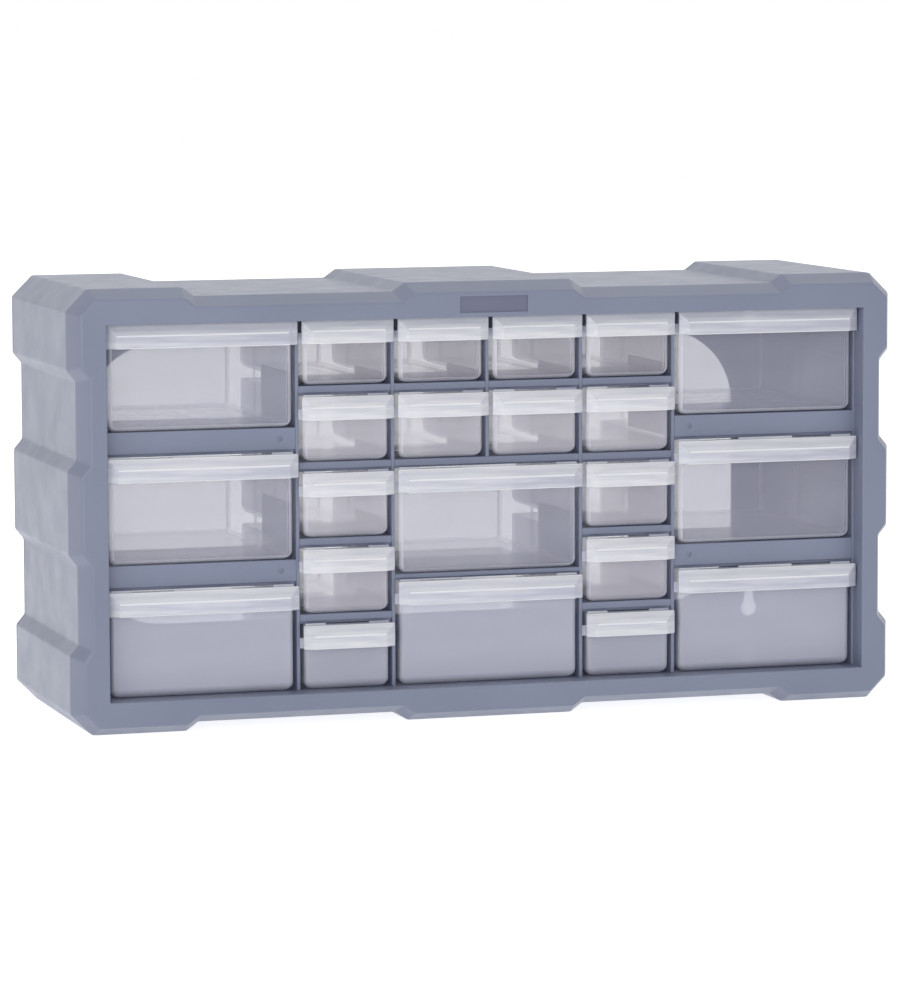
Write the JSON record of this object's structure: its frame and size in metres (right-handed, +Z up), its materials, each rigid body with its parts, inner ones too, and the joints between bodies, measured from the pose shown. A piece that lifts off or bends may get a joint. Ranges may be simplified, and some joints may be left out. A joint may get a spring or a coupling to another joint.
{
  "type": "parts bin cabinet",
  "caption": "Moulded cabinet with a stepped outline and a bevelled front frame, holding small and large see-through drawers that slide out by their hoods.",
  "frame": {"origin": "middle of the footprint, on the plane the cabinet stands on", "axes": "+Z up, the drawers' fronts face -Y and slide out that way, +X to the right seen from the front"},
  "size_m": [0.49, 0.16, 0.25],
  "materials": {
    "case_plastic": "blue-grey moulded plastic, satin",
    "lattice_plastic": "blue-grey moulded plastic, satin, in the shade of the frame",
    "drawer_plastic": "milky see-through moulded plastic, glossy"
  },
  "bodies": {
    "cabinet": {"front_bezel": "case_plastic", "outer_casing": "case_plastic", "back_frame": "case_plastic", "lattice_top": "lattice_plastic", "lattice_bottom": "lattice_plastic", "side_guide_left": "lattice_plastic", "side_guide_right": "lattice_plastic", "divider_left": "lattice_plastic", "divider_inner_left": "lattice_plastic", "divider_centre": "lattice_plastic", "divider_inner_right": "lattice_plastic", "divider_right": "lattice_plastic", "rail_left_upper": "lattice_plastic", "rail_left_lower": "lattice_plastic", "rail_right_upper": "lattice_plastic", "rail_right_lower": "lattice_plastic", "shelf_middle": "lattice_plastic", "shelf_row_1": "lattice_plastic", "shelf_row_2": "lattice_plastic", "shelf_row_3": "lattice_plastic", "shelf_row_4": "lattice_plastic"},
    "drawer_small_row_1_left": {"drawer_small_row_1_left": "drawer_plastic"},
    "drawer_small_row_1_right": {"drawer_small_row_1_right": "drawer_plastic"},
    "drawer_small_row_2_left": {"drawer_small_row_2_left": "drawer_plastic"},
    "drawer_small_row_2_right": {"drawer_small_row_2_right": "drawer_plastic"},
    "drawer_small_row_3_left": {"drawer_small_row_3_left": "drawer_plastic"},
    "drawer_small_row_3_right": {"drawer_small_row_3_right": "drawer_plastic"},
    "drawer_small_row_4_a": {"drawer_small_row_4_a": "drawer_plastic"},
    "drawer_small_row_4_b": {"drawer_small_row_4_b": "drawer_plastic"},
    "drawer_small_row_4_c": {"drawer_small_row_4_c": "drawer_plastic"},
    "drawer_small_row_4_d": {"drawer_small_row_4_d": "drawer_plastic"},
    "drawer_small_row_5_a": {"drawer_small_row_5_a": "drawer_plastic"},
    "drawer_small_row_5_b": {"drawer_small_row_5_b": "drawer_plastic"},
    "drawer_small_row_5_c": {"drawer_small_row_5_c": "drawer_plastic"},
    "drawer_small_row_5_d": {"drawer_small_row_5_d": "drawer_plastic"},
    "drawer_large_row_1_left": {"drawer_large_row_1_left": "drawer_plastic"},
    "drawer_large_row_1_right": {"drawer_large_row_1_right": "drawer_plastic"},
    "drawer_large_row_2_left": {"drawer_large_row_2_left": "drawer_plastic"},
    "drawer_large_row_2_right": {"drawer_large_row_2_right": "drawer_plastic"},
    "drawer_large_row_3_left": {"drawer_large_row_3_left": "drawer_plastic"},
    "drawer_large_row_3_right": {"drawer_large_row_3_right": "drawer_plastic"},
    "drawer_large_row_1_middle": {"drawer_large_row_1_middle": "drawer_plastic"},
    "drawer_large_row_2_middle": {"drawer_large_row_2_middle": "drawer_plastic"}
  },
  "joints": [
    {"name": "drawer_small_row_1_left_slide", "type": "slide", "parent": "cabinet", "child": "drawer_small_row_1_left", "axis": [0, -1, 0], "range_m": [0, 0.11]},
    {"name": "drawer_small_row_1_right_slide", "type": "slide", "parent": "cabinet", "child": "drawer_small_row_1_right", "axis": [0, -1, 0], "range_m": [0, 0.11]},
    {"name": "drawer_small_row_2_left_slide", "type": "slide", "parent": "cabinet", "child": "drawer_small_row_2_left", "axis": [0, -1, 0], "range_m": [0, 0.11]},
    {"name": "drawer_small_row_2_right_slide", "type": "slide", "parent": "cabinet", "child": "drawer_small_row_2_right", "axis": [0, -1, 0], "range_m": [0, 0.11]},
    {"name": "drawer_small_row_3_left_slide", "type": "slide", "parent": "cabinet", "child": "drawer_small_row_3_left", "axis": [0, -1, 0], "range_m": [0, 0.11]},
    {"name": "drawer_small_row_3_right_slide", "type": "slide", "parent": "cabinet", "child": "drawer_small_row_3_right", "axis": [0, -1, 0], "range_m": [0, 0.11]},
    {"name": "drawer_small_row_4_a_slide", "type": "slide", "parent": "cabinet", "child": "drawer_small_row_4_a", "axis": [0, -1, 0], "range_m": [0, 0.11]},
    {"name": "drawer_small_row_4_b_slide", "type": "slide", "parent": "cabinet", "child": "drawer_small_row_4_b", "axis": [0, -1, 0], "range_m": [0, 0.11]},
    {"name": "drawer_small_row_4_c_slide", "type": "slide", "parent": "cabinet", "child": "drawer_small_row_4_c", "axis": [0, -1, 0], "range_m": [0, 0.11]},
    {"name": "drawer_small_row_4_d_slide", "type": "slide", "parent": "cabinet", "child": "drawer_small_row_4_d", "axis": [0, -1, 0], "range_m": [0, 0.11]},
    {"name": "drawer_small_row_5_a_slide", "type": "slide", "parent": "cabinet", "child": "drawer_small_row_5_a", "axis": [0, -1, 0], "range_m": [0, 0.11]},
    {"name": "drawer_small_row_5_b_slide", "type": "slide", "parent": "cabinet", "child": "drawer_small_row_5_b", "axis": [0, -1, 0], "range_m": [0, 0.11]},
    {"name": "drawer_small_row_5_c_slide", "type": "slide", "parent": "cabinet", "child": "drawer_small_row_5_c", "axis": [0, -1, 0], "range_m": [0, 0.11]},
    {"name": "drawer_small_row_5_d_slide", "type": "slide", "parent": "cabinet", "child": "drawer_small_row_5_d", "axis": [0, -1, 0], "range_m": [0, 0.11]},
    {"name": "drawer_large_row_1_left_slide", "type": "slide", "parent": "cabinet", "child": "drawer_large_row_1_left", "axis": [0, -1, 0], "range_m": [0, 0.11]},
    {"name": "drawer_large_row_1_right_slide", "type": "slide", "parent": "cabinet", "child": "drawer_large_row_1_right", "axis": [0, -1, 0], "range_m": [0, 0.11]},
    {"name": "drawer_large_row_2_left_slide", "type": "slide", "parent": "cabinet", "child": "drawer_large_row_2_left", "axis": [0, -1, 0], "range_m": [0, 0.11]},
    {"name": "drawer_large_row_2_right_slide", "type": "slide", "parent": "cabinet", "child": "drawer_large_row_2_right", "axis": [0, -1, 0], "range_m": [0, 0.11]},
    {"name": "drawer_large_row_3_left_slide", "type": "slide", "parent": "cabinet", "child": "drawer_large_row_3_left", "axis": [0, -1, 0], "range_m": [0, 0.11]},
    {"name": "drawer_large_row_3_right_slide", "type": "slide", "parent": "cabinet", "child": "drawer_large_row_3_right", "axis": [0, -1, 0], "range_m": [0, 0.11]},
    {"name": "drawer_large_row_1_middle_slide", "type": "slide", "parent": "cabinet", "child": "drawer_large_row_1_middle", "axis": [0, -1, 0], "range_m": [0, 0.11]},
    {"name": "drawer_large_row_2_middle_slide", "type": "slide", "parent": "cabinet", "child": "drawer_large_row_2_middle", "axis": [0, -1, 0], "range_m": [0, 0.11]}
  ]
}
